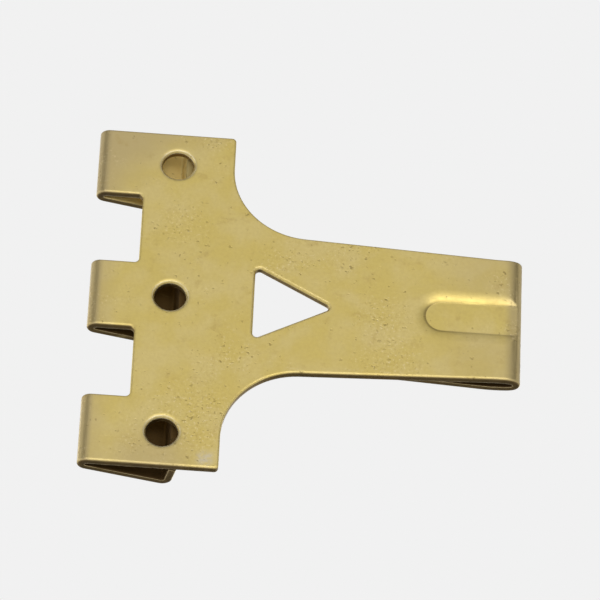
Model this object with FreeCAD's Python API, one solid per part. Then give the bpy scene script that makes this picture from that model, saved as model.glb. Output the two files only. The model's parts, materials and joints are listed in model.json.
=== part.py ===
import FreeCAD, Part
import math
import os

# Picture hook for three nails, pressed and folded from one piece of plated steel sheet.
# It stands as it hangs: +Z up, +X across the crossbar, +Y into the wall.
# The origin is the centre of the middle nail hole, on the face that lies on the wall.
# Sizes are in millimetres and angles in degrees.

Vector = FreeCAD.Vector

# Sheet
sheet = 0.8
edge_round = 0.2

# Crossbar, with one nail position under each tab
nail_hole_pitch = 16.1
nail_hole_d = 3.3
bar_above_nails = 8.3
bar_below_nails = 5.9
bar_corner_r = 0.45
tab_width = 7.8
notch_depth = 4.85
notch_corner_r = 0.5

# Tabs, folded forward over the nail holes, each with its foot turned back to the sheet
top_fold_inner_r = 0.2
tab_slope_deg = 14.0
tab_face_length = 7.8
foot_bend_inner_r = 0.3
foot_to_sheet_deg = 80.0
foot_gap = 0.15
guide_hole_d = 3.2
nail_slope_deg = 52.0

# Stem
stem_below_nails = 36.2
stem_taper_deg = 2.5
stem_fillet_r = 8.0

# Window in the stem
window_below_nails = 8.6
window_width = 8.8
window_height = 8.2
window_corner_r = 0.45

# Fold at the foot of the stem, and the arm that rises from it
fold_width = 14.5
fold_side_straight = 0.5
fold_side_r = 20.0
fold_ease_inner_r = 2.2
fold_ease_deg = 20.0
arm_slope_deg = 4.5
arm_height = 17.5
arm_taper_deg = 5.5
arm_corner_r = 0.8

# Stiffening grooves, pressed into the outer faces of stem and arm and standing up inside
groove_width = 6.2
groove_floor_width = 3.4
groove_depth = 0.3
groove_rim_deg = 3.0
groove_up_stem = 11.3
groove_below_arm_end = 3.3
ridge_gap = 0.1
ridge_from_fold = 0.3

# Places that follow from the sizes above
bar_width = 2 * nail_hole_pitch + tab_width
nail_xs = [step * nail_hole_pitch for step in (-1, 0, 1)]
notch_xs = [step * nail_hole_pitch for step in (-0.5, 0.5)]
through = 4 * sheet

top_fold_r = top_fold_inner_r + sheet
tab_turn_deg = 180.0 - tab_slope_deg
foot_bend_r = foot_bend_inner_r + sheet
foot_turn_deg = tab_slope_deg + foot_to_sheet_deg

ease_r = fold_ease_inner_r + sheet
ease_set_in = ease_r * (1 - math.cos(math.radians(fold_ease_deg)))
neck_gap = 2 * groove_depth + ridge_gap
nose_r = (neck_gap / 2 + sheet - ease_set_in) / math.cos(math.radians(fold_ease_deg))
nose_turn_deg = 180.0 - 2 * fold_ease_deg
ease_drop = ease_r * math.sin(math.radians(fold_ease_deg))
nose_drop = nose_r * (1 - math.sin(math.radians(fold_ease_deg)))
stem_end_z = -stem_below_nails + ease_drop + nose_drop
past_fold = 2 * (ease_drop + nose_drop)
groove_up_arm = arm_height - groove_below_arm_end


class Bench:
    """A place on the outer face of the sheet, and the way the sheet runs on from it.

    across runs along X, ahead is the way on, and out points away from the sheet."""

    def __init__(self, point, ahead, out):
        self.point = point
        self.ahead = ahead
        self.out = out
        self.across = ahead.cross(out)

    def at(self, across=0.0, ahead=0.0, out=0.0):
        return self.point + self.across * across + self.ahead * ahead + self.out * out

    def moved(self, ahead):
        return Bench(self.at(ahead=ahead), self.ahead, self.out)

    def bend_axis_point(self, radius):
        return self.at(out=-radius)

    def bent(self, radius, turn_deg):
        """The bench after a bend towards the inner face."""
        turn = FreeCAD.Rotation(self.across, -turn_deg)
        middle = self.bend_axis_point(radius)
        point = middle + turn.multVec(self.point - middle)
        return Bench(point, turn.multVec(self.ahead), turn.multVec(self.out))

    def face(self, corners, radii=None):
        """A flat face of (across, ahead) corners on the outer face of the sheet."""
        return flat_face([self.at(across=a, ahead=b) for a, b in corners], radii)

    def section(self, corners, radii=None):
        """A flat face of (across, out) corners, square to the way on."""
        return flat_face([self.at(across=a, out=c) for a, c in corners], radii)


def flat_face(corners, radii=None):
    """A face with straight sides, where each corner may be rounded."""
    radii = radii or [0.0] * len(corners)
    edges = []
    ends = []
    for index, corner in enumerate(corners):
        radius = radii[index]
        if radius == 0.0:
            ends.append((corner, corner))
            continue
        to_last = (corners[index - 1] - corner).normalize()
        to_next = (corners[(index + 1) % len(corners)] - corner).normalize()
        half = to_last.getAngle(to_next) / 2
        start = corner + to_last * (radius / math.tan(half))
        end = corner + to_next * (radius / math.tan(half))
        inward = (to_last + to_next).normalize()
        middle = corner + inward * (radius / math.sin(half) - radius)
        ends.append((start, end))
        edges.append(Part.Arc(start, middle, end).toShape())
    for index, (start, end) in enumerate(ends):
        next_start = ends[(index + 1) % len(ends)][0]
        if (next_start - end).Length > 1e-6:
            edges.append(Part.LineSegment(end, next_start).toShape())
    return Part.Face(Part.Wire(Part.__sortEdges__(edges)))


def mirrored(corners, radii):
    """Adds the left half of an outline to its right half, given from top to bottom."""
    left = [(-a, b) for a, b in reversed(corners)]
    return corners + left, radii + radii[::-1]


def on_face(edge, point, out):
    """True where both ends and the middle of an edge lie in the plane through point."""
    first, last = edge.ParameterRange
    places = [edge.valueAt(first), edge.valueAt((first + last) / 2), edge.valueAt(last)]
    return all(abs((place - point).dot(out)) < 1e-6 for place in places)


def eased(solid, rims, hole_rims):
    """Rounds the sheet's outer rims, and breaks the rims of the holes in it with a narrow slope."""
    middles = [rim.CenterOfMass for rim in hole_rims]
    solid = solid.makeFillet(edge_round, rims)
    slopes = [edge for edge in solid.Edges if is_at(edge, middles)]
    return solid.makeChamfer(edge_round, slopes) if slopes else solid


def is_at(edge, places):
    """True where the middle of an edge lies on one of the places."""
    return any((edge.CenterOfMass - place).Length < 1e-6 for place in places)


def is_level_at(edge, heights):
    """True for an edge that runs level at one of the heights."""
    return edge.BoundBox.ZLength < 1e-6 and any(abs(edge.BoundBox.ZMin - z) < 1e-6 for z in heights)


def run(section, bench, length):
    return section.extrude(bench.ahead * length)


def bend(section, bench, radius, turn_deg):
    return section.revolve(bench.bend_axis_point(radius), bench.across, -turn_deg)


def strip(bench, width, moves):
    """A strip of sheet that follows straight runs and bends. Returns its solids and its end."""
    solids = []
    for kind, size, turn_deg in moves:
        half = width / 2
        corners = [(-half, 0), (half, 0), (half, -sheet), (-half, -sheet)]
        section = bench.section(corners, [edge_round, edge_round, 0.0, 0.0])
        if kind == "run":
            solids.append(run(section, bench, size))
            bench = bench.moved(size)
        else:
            solids.append(bend(section, bench, size, turn_deg))
            bench = bench.bent(size, turn_deg)
    return solids, bench


def crossbar_and_stem():
    """The flat back of the hook, from the top fold down to the start of the bottom fold."""
    taper_end_z = stem_end_z + side_corner(stem_taper_deg)
    widening = (-bar_below_nails - taper_end_z) * math.tan(math.radians(stem_taper_deg))
    half = [
        (bar_width / 2, bar_above_nails - top_fold_r),
        (bar_width / 2, -bar_below_nails),
        (fold_width / 2 + widening, -bar_below_nails),
        (fold_width / 2, taper_end_z),
        (fold_width / 2, stem_end_z),
    ]
    corners, radii = mirrored(half, [0.0, bar_corner_r, stem_fillet_r, fold_side_r, 0.0])
    outline = flat_face([Vector(x, 0, z) for x, z in corners], radii)
    flat = outline.extrude(Vector(0, -sheet, 0))
    flat = flat.cut([notch(x) for x in notch_xs] + [nail_hole(x) for x in nail_xs] + [window()])
    joins = (bar_above_nails - top_fold_r, stem_end_z)
    wall_side = [face for face in flat.Faces if face.BoundBox.YMin > -1e-6][0]
    rims = [edge for edge in wall_side.OuterWire.Edges if not is_level_at(edge, joins)]
    holes = [wire for wire in wall_side.Wires if not wire.isSame(wall_side.OuterWire)]
    return eased(flat, rims, [edge for hole in holes for edge in hole.Edges])


def side_corner(taper_deg):
    """How far from the fold its straight side meets a tapered one, before the corner is rounded."""
    return fold_side_straight + fold_side_r * math.tan(math.radians(taper_deg) / 2)


def notch(middle_x):
    """Space between two tabs, open at the top."""
    half = (nail_hole_pitch - tab_width) / 2
    floor_z = bar_above_nails - notch_depth
    corners = [(-half, bar_above_nails), (half, bar_above_nails), (half, floor_z), (-half, floor_z)]
    points = [Vector(middle_x + x, through, z) for x, z in corners]
    return flat_face(points, [0.0, 0.0, notch_corner_r, notch_corner_r]).extrude(Vector(0, -2 * through, 0))


def window():
    """Triangle in the stem that points down."""
    corners = [(-window_width / 2, 0), (window_width / 2, 0), (0, -window_height)]
    points = [Vector(x, through, z - window_below_nails) for x, z in corners]
    return flat_face(points, [window_corner_r] * 3).extrude(Vector(0, -2 * through, 0))


def tab_bench():
    """Where a tab leaves the top of the crossbar."""
    return Bench(Vector(0, 0, bar_above_nails - top_fold_r), Vector(0, 0, 1), Vector(0, 1, 0))


def tab(middle_x):
    """One tab: over the top, down at a slope, and back to the sheet with its foot."""
    face_start = tab_bench().bent(top_fold_r, tab_turn_deg)
    foot_start = face_start.moved(tab_face_length).bent(foot_bend_r, foot_turn_deg)
    inner_start = foot_start.at(out=-sheet)
    reach_y = -sheet - foot_gap
    foot_length = (reach_y - inner_start.y) / foot_start.ahead.y
    moves = [
        ("bend", top_fold_r, tab_turn_deg),
        ("run", tab_face_length, 0.0),
        ("bend", foot_bend_r, foot_turn_deg),
        ("run", foot_length, 0.0),
    ]
    solids, _ = strip(tab_bench(), tab_width, moves)
    solid = solids[0].multiFuse(solids[1:]).cut(guide_hole())
    rims = [edge for edge in solid.Edges if on_face(edge, face_start.point, face_start.out)]
    solid = solid.makeChamfer(edge_round, [edge for edge in rims if edge.isClosed()])
    solid.translate(Vector(middle_x, 0, 0))
    return solid


def guide_hole_point():
    """Where the nail's line, drawn up from its hole, crosses the middle of the tab's sheet."""
    face_start = tab_bench().bent(top_fold_r, tab_turn_deg)
    middle = face_start.at(out=-sheet / 2)
    nail = Vector(0, -math.cos(math.radians(nail_slope_deg)), math.sin(math.radians(nail_slope_deg)))
    hole = Vector(0, -sheet / 2, 0)
    offset = hole - middle
    across_tab = face_start.out
    distance = -offset.dot(across_tab) / nail.dot(across_tab)
    return hole + nail * distance, across_tab


def guide_hole():
    """Hole in a tab at X = 0, square to its sheet."""
    point, axis = guide_hole_point()
    return Part.makeCylinder(guide_hole_d / 2, 2 * sheet, point - axis * sheet, axis)


def nail_hole(middle_x):
    return Part.makeCylinder(nail_hole_d / 2, 2 * through, Vector(middle_x, -through, 0), Vector(0, 1, 0))


def fold_bench():
    """Where the stem ends and its fold begins, on the wall face."""
    return Bench(Vector(0, 0, stem_end_z), Vector(0, 0, -1), Vector(0, 1, 0))


def fold_moves():
    """A tight nose between two gentle bends."""
    return [
        ("bend", ease_r, fold_ease_deg),
        ("bend", nose_r, nose_turn_deg),
        ("bend", ease_r, fold_ease_deg - arm_slope_deg),
    ]


def arm(bench):
    """The flat of the arm, from the end of the fold up to its free end."""
    length = (-stem_below_nails + arm_height - bench.point.z) / bench.ahead.z
    corner = side_corner(arm_taper_deg)
    narrowing = (length - corner) * math.tan(math.radians(arm_taper_deg))
    half = [(fold_width / 2, 0), (fold_width / 2, corner), (fold_width / 2 - narrowing, length)]
    corners, radii = mirrored(half, [0.0, fold_side_r, arm_corner_r])
    flat = bench.face(corners, radii).extrude(bench.out * -sheet)
    rims = [edge for edge in flat.Edges if on_face(edge, bench.point, bench.out)]
    rims = [edge for edge in rims if not is_level_at(edge, [bench.point.z])]
    return eased(flat, rims, [])


class Groove:
    """Section of the stiffening groove: a flat floor between two rounded shoulders."""

    def __init__(self, below):
        """below is 0 for the outer face, or the sheet for the ridge on the inner face."""
        rim = math.radians(groove_rim_deg)
        shoulder_run = (groove_width - groove_floor_width) / 2
        fall = groove_depth * math.cos(rim) - shoulder_run * math.sin(rim)
        shoulder_r = (shoulder_run ** 2 + groove_depth ** 2) / (2 * fall)
        self.centre_across = groove_width / 2 + shoulder_r * math.sin(rim)
        self.centre_out = -shoulder_r * math.cos(rim)
        self.shoulder_r = shoulder_r - below
        self.face_out = -below
        self.floor_out = -below - groove_depth
        self.half_width = self.shoulder_across(self.face_out)
        self.half_floor = self.shoulder_across(self.floor_out)

    def shoulder_across(self, out):
        height = out - self.centre_out
        return self.centre_across - math.sqrt(self.shoulder_r ** 2 - height ** 2)

    def shoulder(self, bench, side):
        """The rounded wall on one side, with the points where it meets the floor and the rim."""
        middle_out = (self.face_out + self.floor_out) / 2
        floor = bench.at(across=side * self.half_floor, out=self.floor_out)
        middle = bench.at(across=side * self.shoulder_across(middle_out), out=middle_out)
        rim = bench.at(across=side * self.half_width, out=self.face_out)
        return floor, rim, Part.Arc(floor, middle, rim).toShape()

    def closed(self, wall_edges, points):
        """A face from the walls and the straight lines that join the points."""
        lines = [Part.LineSegment(a, b).toShape() for a, b in zip(points, points[1:])]
        return Part.Face(Part.Wire(Part.__sortEdges__(wall_edges + lines)))

    def section(self, bench, cap_out):
        """The whole section, closed by a flat cap at cap_out."""
        left_floor, left_rim, left_wall = self.shoulder(bench, -1)
        right_floor, right_rim, right_wall = self.shoulder(bench, 1)
        left_cap = bench.at(across=-self.half_width, out=cap_out)
        right_cap = bench.at(across=self.half_width, out=cap_out)
        floor = Part.LineSegment(left_floor, right_floor).toShape()
        return self.closed([left_wall, floor, right_wall], [left_rim, left_cap, right_cap, right_rim])

    def end(self, bench, cap_out):
        """The rounded end of a groove, turned about a line square to the sheet."""
        floor, rim, wall = self.shoulder(bench, 1)
        cap = bench.at(across=self.half_width, out=cap_out)
        cap_middle = bench.at(out=cap_out)
        floor_middle = bench.at(out=self.floor_out)
        half = self.closed([wall], [rim, cap, cap_middle, floor_middle, floor])
        return half.revolve(bench.point, bench.out, 360.0)


def groove(bench, rise):
    """What one groove takes out of an outer face.

    Its floor is straight, so it runs out where the fold curves away from it, and its upper end is
    rounded and lies at rise above the foot of the fold."""
    shape = Groove(0.0)
    start = bench.moved(-past_fold)
    length = past_fold + rise - (bench.point.z + stem_below_nails) - shape.half_width
    return [run(shape.section(start, sheet), start, length), shape.end(start.moved(length), sheet)]


def ridge(bench, far_end):
    """The groove's metal where it stands up inside, from near the fold to far_end."""
    shape = Groove(sheet)
    cap_out = -sheet / 2
    start = bench.moved(ridge_from_fold + shape.half_width)
    length = far_end - ridge_from_fold - shape.half_width - Groove(0.0).half_width
    pieces = [shape.end(start, cap_out), shape.end(start.moved(length), cap_out)]
    pieces.append(run(shape.section(start, cap_out), start, length))
    return pieces[0].multiFuse(pieces[1:])


def picture_hook():
    stem_end = fold_bench()
    fold, arm_start = strip(stem_end, fold_width, fold_moves())
    pieces = fold + [arm(arm_start)] + [tab(x) for x in nail_xs]
    stem_up = Bench(stem_end.point, stem_end.ahead * -1, stem_end.out)
    pieces.append(ridge(stem_up, groove_up_stem - (stem_end.point.z + stem_below_nails)))
    pieces.append(ridge(arm_start, groove_up_arm - (arm_start.point.z + stem_below_nails)))
    body = crossbar_and_stem().multiFuse(pieces)
    return body.cut(groove(stem_up, groove_up_stem) + groove(arm_start, groove_up_arm)).removeSplitter()


def main():
    os.makedirs("parts", exist_ok=True)
    hook = picture_hook()
    print("solids", len(hook.Solids), "valid", hook.isValid(), "volume", round(hook.Volume, 2))
    hook.Solids[0].exportStep("parts/picture_hook.step")


main()
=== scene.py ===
import json
import math

import bpy
from mathutils import Matrix, Vector


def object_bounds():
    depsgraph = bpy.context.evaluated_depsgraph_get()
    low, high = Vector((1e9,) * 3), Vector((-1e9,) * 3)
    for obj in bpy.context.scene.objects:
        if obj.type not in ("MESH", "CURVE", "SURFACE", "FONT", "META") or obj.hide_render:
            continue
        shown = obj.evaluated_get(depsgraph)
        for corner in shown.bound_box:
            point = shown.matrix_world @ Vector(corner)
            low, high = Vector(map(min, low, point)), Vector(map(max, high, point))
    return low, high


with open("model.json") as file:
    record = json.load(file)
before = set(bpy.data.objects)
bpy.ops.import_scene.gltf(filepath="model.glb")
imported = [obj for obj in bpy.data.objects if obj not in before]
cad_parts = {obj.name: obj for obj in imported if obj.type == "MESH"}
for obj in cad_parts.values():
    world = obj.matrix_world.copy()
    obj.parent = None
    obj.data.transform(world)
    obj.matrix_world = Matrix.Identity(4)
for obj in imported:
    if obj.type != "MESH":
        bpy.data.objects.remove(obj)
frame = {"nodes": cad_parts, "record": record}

# A folded picture hook of brass-plated steel sheet, seen from the side that lies on the wall.
# Lengths are in metres unless a comment or a name says mm.
# +Z is up as it hangs and +Y goes into the wall.

CAD_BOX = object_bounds()
MM = 0.001

# Camera: where it stands round the hook, and how it is turned about its own line of sight
CAMERA_AIM = Vector((-0.6, 0.0, -13.3)) * MM
CAMERA_SIDE_DEG = 32.24
CAMERA_RISE_DEG = 2.13
CAMERA_ROLL_DEG = 86.0
CAMERA_DISTANCE = 0.499
CAMERA_LENS_MM = 292.0
CAMERA_SENSOR_MM = 36.0
CAMERA_NEAR = 0.01
CAMERA_FAR = 20.0

# Surroundings
BACKGROUND_GREY = 0.88
ROOM_LIGHT = 0.62
FLOOR_DROP = 0.50
FLOOR_SIZE = 4.0
FLOOR_COLOUR = (0.86, 0.86, 0.85)
FLOOR_FADE = 0.85

# Colours of the plating, of the places where it is worn, cut or pitted, and of painted shade and painted
# highlights on it
BRASS = (0.637, 0.502, 0.158)
BRASS_PALE = (0.662, 0.534, 0.214)
OLIVE_TONE_AND_SHADE = (0.50, 0.395, 0.20)
BRASS_BROWN = (0.42, 0.29, 0.09)
PAINTED_FOLD_SHADE = (0.41, 0.325, 0.165)
PAINTED_INSIDE_SHADE = (0.085, 0.045, 0.015)
PAINTED_OPEN_TAB_LIGHT = (0.80, 0.66, 0.30)
SPECK_AND_CREASE_SHADE = (0.16, 0.11, 0.04)
CUT_AND_SHADE_COLOUR = (0.16, 0.10, 0.036)
BURNISH_AND_HIGHLIGHT = (0.84, 0.70, 0.42)
NAIL_WEAR_AND_HIGHLIGHT = (0.97, 0.89, 0.66)
WORN_GREY = (0.60, 0.56, 0.49)

# The sheet's sizes from the frame, in mm. A nail hole is as deep as the sheet is thick.
LEFT_END, RIGHT_END = CAD_BOX[0].x / MM, CAD_BOX[1].x / MM
FOOT, TOP = CAD_BOX[0].z / MM, CAD_BOX[1].z / MM
NAIL_BORES = [mount for mount in frame["record"]["mounts"] if mount["name"].startswith("nail_hole")]
NAIL_HOLES = [(bore["pos_m"][0] / MM, bore["pos_m"][2] / MM) for bore in NAIL_BORES]
NAIL_HOLE_RADIUS = NAIL_BORES[0]["dims"]["r_mm"]
THICKNESS = NAIL_BORES[0]["dims"]["length_mm"]

# Two sizes that the frame doesn't name: the depth of the grooves in mm, and how far the arm leans
GROOVE_DEPTH = 0.3
ARM_SLOPE_DEG = 4.5

# How wide a rim looks rounded, in mm, and over which lean of its rounded normal it comes to look
# rubbed and takes a painted highlight, as the cosine of that lean
RIM = 0.27
RUBBED_AND_LIT_RIM = (0.995, 0.93)

# How far past a nail hole the sheet is dished, in mm, and up to which share of the dish's radius
# it is at its deepest
DISH_REACH = 0.55
DISH_CORE = 0.74

# Marks on the wall side, each with its (X, Z) on the sheet and its radius, in mm
WORN_SPOT = ((RIGHT_END - 1.1, -4.5), 1.3)
GREY_END = ((RIGHT_END, 1.0), 6.5)
SPECK_PATCHES = (((1.0, -22.0), 4.5), ((5.5, -23.0), 5.0), ((14.0, -2.5), 7.0), ((-9.0, -1.0), 4.0))

# Stretches in mm over which a tint comes up, first where it is none and then where it is full.
# The tints at the tab tops, the bends, the stem's end, the groove's foot and inside the folds are
# painted shade, and the open left tab takes painted light
TAB_TOP_Z = (TOP - 3.5, TOP - 1.0)
TOP_BEND_Z = (TOP - 1.4, TOP - 0.8)
FOOT_BEND_Z = (FOOT + 2.1, FOOT + 0.8)
STEM_END_Z = (FOOT + 11.2, FOOT + 3.2)
GROOVE_SHADE_Z = (FOOT + 5.2, FOOT + 9.7)
BESIDE_GROOVE_X = (1.2, 3.8)
CLOSED_TABS_X = (LEFT_END + 7.0, LEFT_END + 11.0)
WALL_SIDE_Y = (-1.3, -0.7)
TAB_FOOT_END_Y = (-1.25, -1.05)
INSIDE_Y = (-THICKNESS - 0.02, -THICKNESS - 0.15)
GROOVE_FOOT_Y = (-GROOVE_DEPTH + 0.13, -GROOVE_DEPTH + 0.02)

# Limits in mm: of the flat sheet between its folds, of the dishes and of the stem's groove
FLAT_FOOT_Z = FOOT + 3.2
FLAT_TOP_Z = TOP - 1.3
FLAT_FRONT_Y = -THICKNESS - 0.05
DISH_FRONT_Y = -0.45
GROOVE_END_Z = FOOT + 1.0
GROOVE_FLOOR_Y = -GROOVE_DEPTH - 0.01

# Parts of a unit normal, first where a face isn't one that looks that way and then where it is
SIDEWAYS_X = (0.75, 0.9)
EDGEWISE_Y = (0.25, 0.1)
TO_WALL_Y = (0.2, 0.5)
UPWARD_Z = (0.5, 0.8)

# The grey corner at the top left: how it leans, how its border wanders in mm and where it comes up
CORNER_LEAN = 0.9
CORNER_WANDER = 6.0
CORNER_RISE = (16.0, 27.0)

# Layers of specks: the size of a cell in mm, the reach of its speck, how much likelier a speck is
# in a cluster, and a shift in mm that keeps the layers apart
SPECK_LAYERS = ((0.62, 0.34, 0.34, 0.0), (1.15, 0.22, 0.42, 5.3), (0.36, 0.40, 0.26, 8.1))

# All specks: the share of its reach in which a speck is full, the ticket above which a cell has
# one, their weakest and strongest, and how far an outline wanders in mm
SPECK_CORE = 0.2
SPECK_TICKET = 0.97
SPECK_STRENGTH = (0.35, 1.0)
SPECK_WANDER = 0.7

# Sets of scratches: their direction in degrees, how dense the noise is across and along them, and
# the level above which it shows as a scratch
SCRATCHES = ((24.0, 9.0, 0.16, 0.735), (-38.0, 7.0, 0.22, 0.745), (81.0, 8.0, 0.14, 0.74))
SCRATCH_SOFT = 0.03

# Edges past SPLIT_DEG shade as sharp ones, and past CREASE_DEG those between a flat and a shoulder
SPLIT_DEG = 38.0
CREASE_DEG = 10.0

# What tells a flat, a bend and a shoulder of a groove: limits of the parts of their unit normals
FLAT_LEAST = 0.9999
BEND_MOST_X = 0.03
BEND_LEAST_Z = 0.05
BEND_MOST_Z = 0.5
SHOULDER_LEAST_X = 0.10
SHOULDER_LEAST_Y = 0.9
SHOULDER_MOST_Z = 0.05
# The shoulder facets that take the painted shade along the groove's foot
SHADED_SHOULDER_LEAST_Y = 0.85
SHADED_SHOULDER_MOST_Y = 0.985

# Vertices closer than WELD_GAP become one, and places are told apart in steps of this many to a metre
WELD_GAP = 1e-6
STEPS_IN_METRE = 1e7


def main():
    hook = frame["nodes"]["picture_hook"]
    smooth(hook)
    dress(hook, brass_material())
    make_floor()
    make_world()
    make_lamps()
    make_camera()


def smooth(hook):
    """Bends and rounded rims shade as curves, and flats keep their own normals."""
    for polygon in hook.data.polygons:
        polygon.use_smooth = True
    mark_creases(hook.data)
    weld = hook.modifiers.new("weld", "WELD")
    weld.merge_threshold = WELD_GAP
    split = hook.modifiers.new("split", "EDGE_SPLIT")
    split.split_angle = math.radians(SPLIT_DEG)
    normals = hook.modifiers.new("normals", "WEIGHTED_NORMAL")
    normals.keep_sharp = True


def mark_creases(mesh):
    """Sets sharp the edges beside the grooves that turn by too little to split by themselves."""
    beside = {}
    for polygon in mesh.polygons:
        for key in polygon.edge_keys:
            beside.setdefault(edge_ends(mesh, key), []).append(polygon.normal)
    for edge in mesh.edges:
        normals = beside[edge_ends(mesh, edge.key)]
        edge.use_edge_sharp = len(normals) == 2 and is_crease(*normals)


def edge_ends(mesh, key):
    """The places of an edge's two ends, the same for each edge that lies there."""
    places = [mesh.vertices[end].co for end in key]
    return frozenset(tuple(round(metres * STEPS_IN_METRE) for metres in place) for place in places)


def is_crease(one, other):
    """True where a flat meets a shoulder, and where a shoulder runs out at a bend."""
    for first, second in ((one, other), (other, one)):
        if meets_flat(first, second) or (is_bend(first) and is_shoulder(second)):
            return True
    return False


def meets_flat(flat, leaning):
    """True for a facet of the stem's or the arm's outer face and one that leans away from it."""
    arm_slope = math.radians(ARM_SLOPE_DEG)
    stem_face = Vector((0.0, 1.0, 0.0))
    arm_face = Vector((0.0, -math.cos(arm_slope), -math.sin(arm_slope)))
    for face in (stem_face, arm_face):
        leans = math.radians(CREASE_DEG) < leaning.angle(face) < math.radians(SPLIT_DEG)
        if flat.dot(face) > FLAT_LEAST and leans:
            return True
    return False


def is_bend(normal):
    """True for a facet that curves away about the X axis, as the sheet does at its folds."""
    return abs(normal.x) < BEND_MOST_X and BEND_LEAST_Z < abs(normal.z) < BEND_MOST_Z


def is_shoulder(normal):
    """True for a facet of the shoulder that runs down one side of a groove."""
    level = abs(normal.y) > SHOULDER_LEAST_Y and abs(normal.z) < SHOULDER_MOST_Z
    return level and abs(normal.x) > SHOULDER_LEAST_X


def dress(hook, material):
    hook.data.materials.clear()
    hook.data.materials.append(material)


class Nodes:
    """Builds shader nodes in one tree, so that each step of a material is one short call."""

    def __init__(self, tree):
        tree.nodes.clear()
        self.tree = tree

    def add(self, kind, inputs=None, **settings):
        node = self.tree.nodes.new(kind)
        for name, value in settings.items():
            setattr(node, name, value)
        for name, value in (inputs or {}).items():
            self.plug(node, name, value)
        return node

    def plug(self, node, name, value):
        socket = node.inputs[name]
        if isinstance(value, bpy.types.NodeSocket):
            self.tree.links.new(value, socket)
        else:
            socket.default_value = value

    def math(self, operation, a, b=0.0):
        return self.add("ShaderNodeMath", {0: a, 1: b}, operation=operation).outputs[0]

    def absolute(self, value):
        return self.math("ABSOLUTE", value)

    def above(self, value, limit):
        return self.math("GREATER_THAN", value, limit)

    def below(self, value, limit):
        return self.math("LESS_THAN", value, limit)

    def times(self, *values):
        """The product of some values, so of masks the place where all of them are."""
        product = values[0]
        for value in values[1:]:
            product = self.math("MULTIPLY", product, value)
        return product

    def most(self, *values):
        """The largest of some values, so of masks the place where any of them is."""
        largest = values[0]
        for value in values[1:]:
            largest = self.math("MAXIMUM", largest, value)
        return largest

    def add_parts(self, total, parts):
        """A total and some more values, each with its weight."""
        for value, weight in parts:
            total = self.math("ADD", total, self.times(value, weight))
        return total

    def vector(self, operation, a, b, output="Vector"):
        return self.add("ShaderNodeVectorMath", {0: a, 1: b}, operation=operation).outputs[output]

    def split(self, vector):
        return self.add("ShaderNodeSeparateXYZ", {"Vector": vector}).outputs

    def ramp(self, value, rise, to=(0.0, 1.0)):
        """A smooth step from to[0] to to[1], as the value goes from rise[0] to rise[1]."""
        inputs = {"Value": value, "From Min": rise[0], "From Max": rise[1]}
        inputs["To Min"], inputs["To Max"] = to
        return self.add("ShaderNodeMapRange", inputs, interpolation_type="SMOOTHSTEP").outputs["Result"]

    def mix(self, share, a, b):
        node = self.add("ShaderNodeMix", {"Factor": share}, data_type="RGBA")
        self.plug(node, "A", a)
        self.plug(node, "B", b)
        colours = [socket for socket in node.outputs if socket.type == "RGBA"]
        return colours[0]

    def coat(self, under, colour, mask, strength=1.0):
        """A colour laid over the one under it, where the mask is and as much as the strength says."""
        return self.mix(self.times(mask, strength), under, rgba(colour))

    def noise(self, place, scale, detail=2.0, roughness=0.5, distortion=0.0, output="Fac"):
        """Noise that has about as many features to a mm as scale says."""
        inputs = {"Vector": place, "Scale": scale, "Detail": detail}
        inputs["Roughness"] = roughness
        inputs["Distortion"] = distortion
        return self.add("ShaderNodeTexNoise", inputs).outputs[output]

    def cloud(self, place, rise, to=(0.0, 1.0), **noise):
        """Soft clouds: noise, and then a smooth step between two of its levels."""
        return self.ramp(self.noise(place, **noise), rise, to)

    def mapped(self, place, scale=(1.0, 1.0, 1.0), turn_deg=(0.0, 0.0, 0.0), shift=(0.0, 0.0, 0.0)):
        turn = tuple(math.radians(angle) for angle in turn_deg)
        inputs = {"Vector": place, "Location": shift, "Rotation": turn, "Scale": scale}
        return self.add("ShaderNodeMapping", inputs).outputs["Vector"]

    def patch(self, place, middle, radius, core=0.2):
        """1 up to core of the radius from a place on the sheet, given as (X, Z), and 0 past it."""
        flat = self.vector("MULTIPLY", place, (1.0, 0.0, 1.0))
        distance = self.vector("DISTANCE", flat, (middle[0], 0.0, middle[1]), "Value")
        return self.ramp(distance, (radius, radius * core))


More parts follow.
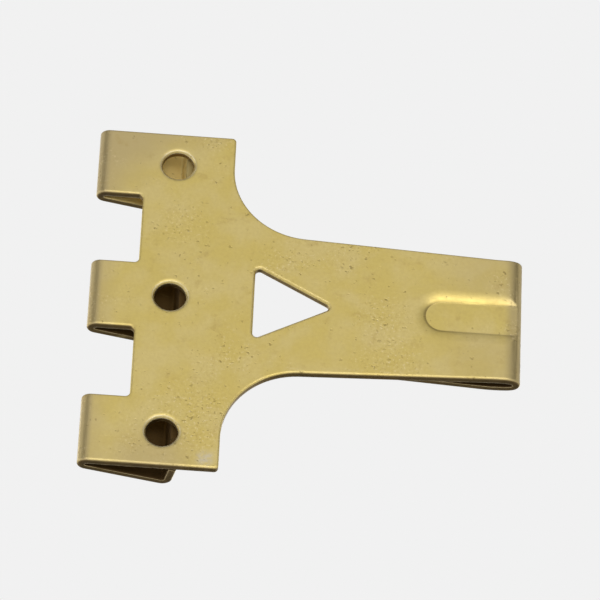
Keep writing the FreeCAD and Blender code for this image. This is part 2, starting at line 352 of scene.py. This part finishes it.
class Sheet:
    """Masks that tell the parts of the plated sheet from each other, for use in its material."""

    def __init__(self, make):
        metres = make.add("ShaderNodeTexCoord").outputs["Object"]
        geometry = make.add("ShaderNodeNewGeometry").outputs
        bevel = make.add("ShaderNodeBevel", {"Radius": RIM * MM}, samples=6)
        self.place = make.mapped(metres, scale=(1 / MM, 1 / MM, 1 / MM))
        self.rounded = bevel.outputs["Normal"]
        self.spot = make.split(self.place)
        self.facing = make.split(geometry["True Normal"])
        self.rims = self.worn_and_lit_rims(make, geometry["Normal"])
        self.cut = self.cut_edges(make)
        self.inside = self.inside_folds(make)
        self.dished = self.dished_holes(make)
        self.groove_foot_shade = self.shade_at_groove_foot(make)
        self.wall_side = make.ramp(self.spot["Y"], WALL_SIDE_Y)
        self.clusters = speck_clusters(make, self.place)
        self.specks = speck_mask(make, self.place, self.clusters)
        self.scratches = scratch_mask(make, self.place)

    def worn_and_lit_rims(self, make, normal):
        """1 along the rims, where the plating is rubbed bright and takes a painted highlight."""
        lean = make.vector("DOT_PRODUCT", self.rounded, normal, "Value")
        broken = make.noise(self.place, scale=0.9, detail=3.0, roughness=0.6)
        return make.times(make.ramp(lean, RUBBED_AND_LIT_RIM), make.ramp(broken, (0.30, 0.62), to=(0.35, 1.0)))

    def dished_holes(self, make):
        """1 at the rims of the nail holes, which the punch drew in a little, on the wall side."""
        reach = NAIL_HOLE_RADIUS + DISH_REACH
        near = make.most(*(make.patch(self.place, hole, reach, DISH_CORE) for hole in NAIL_HOLES))
        return make.times(near, make.above(self.spot["Y"], DISH_FRONT_Y))

    def cut_edges(self, make):
        """1 on the punched edges of the sheet, 0 on its faces."""
        sideways = make.ramp(make.absolute(self.facing["X"]), SIDEWAYS_X)
        edgewise = make.ramp(make.absolute(self.facing["Y"]), EDGEWISE_Y)
        above_fold = make.above(self.spot["Z"], FLAT_FOOT_Z)
        below_tabs = make.below(self.spot["Z"], FLAT_TOP_Z)
        in_sheet = make.above(self.spot["Y"], FLAT_FRONT_Y)
        return make.most(sideways, make.times(edgewise, above_fold, below_tabs, in_sheet))

    def shade_at_groove_foot(self, make):
        """1 along the foot of the shoulders of the stem's groove, where a line of painted shade lies."""
        low = make.ramp(self.spot["Y"], GROOVE_FOOT_Y)
        in_groove = make.above(self.spot["Y"], GROOVE_FLOOR_Y)
        above_fold = make.above(self.spot["Z"], GROOVE_END_Z)
        outward = make.above(self.facing["Y"], SHADED_SHOULDER_LEAST_Y)
        leaning = make.below(self.facing["Y"], SHADED_SHOULDER_MOST_Y)
        shade_strength = make.ramp(self.spot["Z"], GROOVE_SHADE_Z, to=(0.45, 1.0))
        return make.times(low, in_groove, above_fold, outward, leaning, shade_strength)

    def inside_folds(self, make):
        """1 inside the tabs and the arm, where painted shade lies, and painted light in the open left tab.
        """
        deep = make.ramp(self.spot["Y"], INSIDE_Y)
        to_wall = make.ramp(self.facing["Y"], TO_WALL_Y)
        upward = make.ramp(self.facing["Z"], UPWARD_Z)
        return make.times(deep, make.most(to_wall, upward))


def rgba(colour):
    return (*colour, 1.0)


def grey_rgba(grey):
    return rgba((grey, grey, grey))


def new_material(name):
    """An empty material and the builder of its nodes."""
    material = bpy.data.materials.new(name)
    material.use_nodes = True
    return material, Nodes(material.node_tree)


def brass_material():
    material, make = new_material("brass_plating")
    sheet = Sheet(make)
    inputs = {"Metallic": 1.0, "Base Color": plating_colour(make, sheet)}
    inputs["Roughness"] = plating_roughness(make, sheet)
    inputs["Normal"] = plating_bump(make, sheet)
    shader = make.add("ShaderNodeBsdfPrincipled", inputs)
    make.add("ShaderNodeOutputMaterial", {"Surface": shader.outputs["BSDF"]})
    return material


def speck_clusters(make, place):
    """Loose clusters in which the plating is pitted and grainy."""
    moved = make.mapped(place, shift=(3.1, 0.0, 7.7))
    loose = make.cloud(moved, rise=(0.48, 0.70), scale=0.16, detail=3.0, roughness=0.6)
    return make.most(loose, *(make.patch(place, *patch) for patch in SPECK_PATCHES))


def speck_mask(make, place, clusters):
    """Small dark pits of ragged outline and uneven strength."""
    ragged = make.vector("SUBTRACT", make.noise(place, scale=3.0, output="Color"), (0.5, 0.5, 0.5))
    ragged = make.vector("MULTIPLY", ragged, (SPECK_WANDER, SPECK_WANDER, SPECK_WANDER))
    place = make.vector("ADD", place, ragged)
    return make.most(*(speck_layer(make, place, clusters, *layer) for layer in SPECK_LAYERS))


def speck_layer(make, place, clusters, cell_mm, reach, likelier, shift):
    """Specks of one size, one to a cell at most, in the cells that a lottery picks."""
    moved = make.mapped(place, shift=(shift, shift, 0.0))
    cells = make.add("ShaderNodeTexVoronoi", {"Vector": moved, "Scale": 1 / cell_mm}).outputs
    dots = make.ramp(cells["Distance"], (reach, reach * SPECK_CORE))
    lottery = make.add("ShaderNodeSeparateColor", {"Color": cells["Color"]}).outputs
    ticket = make.add_parts(lottery["Red"], [(clusters, likelier)])
    strength = make.ramp(lottery["Green"], (0.0, 1.0), to=SPECK_STRENGTH)
    return make.times(dots, make.above(ticket, SPECK_TICKET), strength)


def scratch_mask(make, place):
    """Fine handling scratches in a few directions."""
    sets = []
    for turn_deg, across, along, level in SCRATCHES:
        turn = (0.0, turn_deg, 0.0)
        apart = (turn_deg, 0.0, 0.0)
        drawn_out = make.mapped(place, scale=(across, 1.0, along), turn_deg=turn, shift=apart)
        lines = make.noise(drawn_out, scale=1.0, detail=1.0, roughness=0.4)
        sets.append(make.ramp(lines, (level, level + SCRATCH_SOFT)))
    return make.most(*sets)


def plating_colour(make, sheet):
    """Pale gold with soft blotches, greyer at two corners, brown in its pits; painted shade and
    highlights.
    """
    colour = blotched_brass(make, sheet.place)
    colour = olive_tone_and_fold_shade(make, sheet, colour)
    colour = stains_pits_and_glints(make, sheet, colour)
    colour = edges_and_rims(make, sheet, colour)
    # Painted shade inside the folds, and painted light inside the open left tab
    colour = make.mix(make.times(sheet.inside, 0.95), colour, shade_inside(make, sheet.spot))
    colour = make.coat(colour, WORN_GREY, worn_spot(make, sheet.place), strength=0.6)
    colour = make.coat(colour, BRASS_PALE, sheet.scratches, strength=0.25)
    return make.coat(colour, SPECK_AND_CREASE_SHADE, sheet.specks, strength=0.45)


def blotched_brass(make, place):
    """Two golds in broad blotches, with a fine brown grain."""
    blotches = make.cloud(place, rise=(0.36, 0.68), scale=0.22, detail=4.0, roughness=0.55, distortion=0.3)
    grain = make.cloud(place, rise=(0.30, 0.75), scale=2.6, detail=3.0, roughness=0.6)
    colour = make.mix(blotches, rgba(BRASS), rgba(BRASS_PALE))
    return make.coat(colour, BRASS_BROWN, grain, strength=0.16)


def olive_tone_and_fold_shade(make, sheet, colour):
    """Greyer brass at two corners of the crossbar; painted shade at the stem's foot, tab tops and folds.
    """
    spot = sheet.spot
    to_corner = make.math("SUBTRACT", make.times(spot["Z"], CORNER_LEAN), spot["X"])
    wander = make.noise(sheet.place, scale=0.3, detail=3.0)
    corner = make.ramp(make.add_parts(to_corner, [(wander, CORNER_WANDER)]), CORNER_RISE)
    grey_end = make.times(make.patch(sheet.place, *GREY_END), 0.8)
    stem_end = make.ramp(spot["Z"], STEM_END_Z)
    beside_groove = make.ramp(make.absolute(spot["X"]), BESIDE_GROOVE_X)
    tab_tops = make.ramp(spot["Z"], TAB_TOP_Z)
    # Painted shade at the top and bottom bends, on the wall side
    bends = make.most(make.ramp(spot["Z"], TOP_BEND_Z), make.ramp(spot["Z"], FOOT_BEND_Z))
    colour = make.coat(colour, OLIVE_TONE_AND_SHADE, make.most(corner, grey_end), strength=0.8)
    # Painted shade beside the groove, darker towards the stem's foot, and below the top fold
    colour = make.coat(colour, OLIVE_TONE_AND_SHADE, make.times(stem_end, beside_groove), strength=0.35)
    colour = make.coat(colour, OLIVE_TONE_AND_SHADE, make.times(tab_tops, sheet.wall_side), strength=0.45)
    return make.coat(colour, PAINTED_FOLD_SHADE, make.times(bends, sheet.wall_side), strength=0.75)


def stains_pits_and_glints(make, sheet, colour):
    """Brown stains, and in the clusters shallow pits with painted highlights on the grains between them.
    """
    moved = make.mapped(sheet.place, shift=(9.0, 0.0, 4.0))
    stain = make.cloud(moved, rise=(0.56, 0.72), scale=0.45, detail=5.0, roughness=0.65)
    mottle = make.noise(sheet.place, scale=3.2, roughness=0.6)
    pitted = make.times(make.ramp(mottle, (0.54, 0.68)), sheet.clusters)
    raised = make.times(make.ramp(mottle, (0.44, 0.32)), sheet.clusters)
    colour = make.coat(colour, BRASS_BROWN, stain, strength=0.35)
    colour = make.coat(colour, BRASS_BROWN, pitted, strength=0.34)
    # Painted highlights on the grains between the pits
    return make.coat(colour, BURNISH_AND_HIGHLIGHT, raised, strength=0.45)


def edges_and_rims(make, sheet, colour):
    """Painted shade at the groove's foot, cut edges dark partly as painted shade, and rubbed rims with
    painted highlights.
    """
    colour = make.coat(colour, SPECK_AND_CREASE_SHADE, sheet.groove_foot_shade, strength=0.6)
    # The cut edges' own darker colour, deepened with painted shade
    colour = make.coat(colour, CUT_AND_SHADE_COLOUR, sheet.cut, strength=0.85)
    # Rims rubbed bright, with painted highlights on them
    colour = make.coat(colour, BURNISH_AND_HIGHLIGHT, sheet.rims, strength=0.5)
    # A painted highlight, partly wear, on the rubbed rims of the nail holes
    return make.coat(colour, NAIL_WEAR_AND_HIGHLIGHT, make.times(sheet.rims, sheet.dished))


def shade_inside(make, spot):
    """Painted shade inside a fold, more at a tab's foot, and painted light in the open left tab."""
    closed = make.ramp(spot["X"], CLOSED_TABS_X)
    shade = make.mix(closed, rgba(PAINTED_OPEN_TAB_LIGHT), rgba(PAINTED_INSIDE_SHADE))
    return make.coat(shade, PAINTED_INSIDE_SHADE, make.ramp(spot["Y"], TAB_FOOT_END_Y), strength=0.42)


def worn_spot(make, place):
    """A ragged spot near the lower right corner of the crossbar, rubbed down to the steel."""
    ragged = make.cloud(place, rise=(0.35, 0.6), scale=1.6, detail=4.0, roughness=0.7)
    return make.times(make.patch(place, *WORN_SPOT), ragged)


def plating_roughness(make, sheet):
    """Satin in soft clouds, rougher where the sheet is cut, bare, scratched or pitted."""
    cloud = make.cloud(sheet.place, rise=(0.3, 0.7), to=(0.31, 0.42), scale=0.5, detail=4.0, roughness=0.6)
    rougher = [(sheet.cut, 0.12), (sheet.inside, 0.35), (sheet.scratches, 0.10), (sheet.specks, 0.25)]
    return make.math("MINIMUM", make.add_parts(cloud, rougher), 1.0)


def plating_bump(make, sheet):
    """Rolled sheet under thin plating: a faint peel, torn cuts, dished holes, pits and scratches."""
    peel = make.noise(sheet.place, scale=1.3)
    grain = make.noise(sheet.place, scale=7.0)
    torn = make.noise(make.mapped(sheet.place, scale=(9.0, 0.8, 9.0)), scale=1.0)
    raised_mm = [(grain, 0.0022), (make.times(torn, sheet.cut), 0.02)]
    sunk_mm = [(sheet.dished, -0.07), (sheet.specks, -0.02), (sheet.scratches, -0.003)]
    height = make.add_parts(make.times(peel, 0.010), raised_mm + sunk_mm)
    inputs = {"Height": height, "Distance": MM, "Strength": 1.0, "Normal": sheet.rounded}
    return make.add("ShaderNodeBump", inputs).outputs["Normal"]


def make_floor():
    """A pale floor below the hook, which fades towards the background for camera and reflections."""
    material, make = new_material("floor")
    seen = any_ray(make, "Is Camera Ray", "Is Glossy Ray")
    matt = make.add("ShaderNodeBsdfDiffuse", {"Color": rgba(FLOOR_COLOUR)})
    pale = make.add("ShaderNodeEmission", {"Color": grey_rgba(BACKGROUND_GREY), "Strength": 1.0})
    inputs = {"Fac": make.times(seen, FLOOR_FADE), 1: matt.outputs[0], 2: pale.outputs[0]}
    both = make.add("ShaderNodeMixShader", inputs)
    make.add("ShaderNodeOutputMaterial", {"Surface": both.outputs[0]})
    below = Matrix.Translation((0.0, 0.0, -FLOOR_DROP))
    floor = set_up("floor", rectangle("floor", FLOOR_SIZE, FLOOR_SIZE, material), below)


def make_world():
    """A pale background for the camera and for reflections, and plain soft light for the rest."""
    world = bpy.data.worlds.new("studio")
    bpy.context.scene.world = world
    world.use_nodes = True
    make = Nodes(world.node_tree)
    seen = any_ray(make, "Is Camera Ray", "Is Glossy Ray", "Is Transmission Ray")
    light = make.add("ShaderNodeBackground", {"Color": grey_rgba(1.0), "Strength": ROOM_LIGHT})
    background = make.add("ShaderNodeBackground", {"Color": grey_rgba(BACKGROUND_GREY), "Strength": 1.0})
    both = make.add("ShaderNodeMixShader", {"Fac": seen, 1: light.outputs[0], 2: background.outputs[0]})
    make.add("ShaderNodeOutputWorld", {"Surface": both.outputs[0]})


def any_ray(make, *kinds):
    """1 for rays of these kinds and 0 for the rest."""
    path = make.add("ShaderNodeLightPath").outputs
    return make.most(*(path[kind] for kind in kinds))


def make_lamps():
    """Soft boxes round the hook, and dark screens between them that give its bends their shape."""
    lamp("key", side_deg=4.0, rise_deg=-6.0, distance=0.85, size=(0.34, 0.85), radiance=2.2)
    lamp("over", side_deg=-32.0, rise_deg=84.0, distance=0.90, size=(0.45, 0.30), radiance=1.3)
    lamp("front", side_deg=-160.0, rise_deg=42.0, distance=0.95, size=(0.50, 0.40), radiance=1.7)
    lamp("front_low", side_deg=-155.0, rise_deg=-12.0, distance=0.95, size=(0.30, 0.50), radiance=1.8)
    screen("wall_left", side_deg=-84.0, rise_deg=0.0, distance=0.80, size=(0.50, 1.1), grey=0.40)
    screen("wall_top", side_deg=-32.0, rise_deg=38.0, distance=0.70, size=(0.80, 0.50), grey=0.72)
    screen("wall_foot", side_deg=-46.0, rise_deg=-52.0, distance=0.62, size=(0.80, 0.42), grey=0.30)
    screen("front_right", side_deg=147.0, rise_deg=-2.0, distance=0.80, size=(0.62, 0.9), grey=0.05)
    screen("front_left", side_deg=-128.0, rise_deg=-4.0, distance=0.80, size=(0.34, 0.9), grey=0.45)


def lamp(name, side_deg, rise_deg, distance, size, radiance):
    light = bpy.data.lights.new(name, "AREA")
    light.shape = "RECTANGLE"
    light.size, light.size_y = size
    light.energy = radiance * math.pi * size[0] * size[1]
    holder = set_up(name, light, round_the_hook(side_deg, rise_deg, distance))
    holder.visible_camera = False


def screen(name, side_deg, rise_deg, distance, size, grey):
    """A dark screen that only reflections see, as a photographer sets one to shape metal."""
    material, make = new_material(name)
    matt = make.add("ShaderNodeBsdfPrincipled", {"Base Color": grey_rgba(grey), "Roughness": 1.0})
    make.add("ShaderNodeOutputMaterial", {"Surface": matt.outputs["BSDF"]})
    board = set_up(name, rectangle(name, *size, material), round_the_hook(side_deg, rise_deg, distance))
    board.visible_camera = False
    board.visible_diffuse = False
    board.visible_shadow = False


def rectangle(name, width, height, material):
    """A mesh of one face that lies round its own middle."""
    corners = [(x * width / 2, y * height / 2, 0.0) for x, y in ((-1, -1), (1, -1), (1, 1), (-1, 1))]
    mesh = bpy.data.meshes.new(name)
    mesh.from_pydata(corners, [], [(0, 1, 2, 3)])
    mesh.materials.append(material)
    return mesh


def round_the_hook(side_deg, rise_deg, distance):
    """A place at side_deg from +Y towards +X and rise_deg above level, turned to face the hook."""
    side, rise = math.radians(side_deg), math.radians(rise_deg)
    back = Vector((math.sin(side) * math.cos(rise), math.cos(side) * math.cos(rise), math.sin(rise)))
    turn = (-back).to_track_quat("-Z", "Y").to_matrix().to_4x4()
    return Matrix.Translation(CAMERA_AIM + back * distance) @ turn


def set_up(name, data, placed):
    """Puts a new object into the scene at its place."""
    holder = bpy.data.objects.new(name, data)
    bpy.context.scene.collection.objects.link(holder)
    holder.matrix_world = placed
    return holder


def make_camera():
    camera = bpy.data.cameras.new("camera")
    camera.lens = CAMERA_LENS_MM
    camera.sensor_width = CAMERA_SENSOR_MM
    camera.clip_start = CAMERA_NEAR
    camera.clip_end = CAMERA_FAR
    placed = round_the_hook(CAMERA_SIDE_DEG, CAMERA_RISE_DEG, CAMERA_DISTANCE)
    rolled = placed @ Matrix.Rotation(math.radians(-CAMERA_ROLL_DEG), 4, "Z")
    bpy.context.scene.camera = set_up("camera", camera, rolled)


bpy.context.scene.view_settings.view_transform = "Standard"
main()
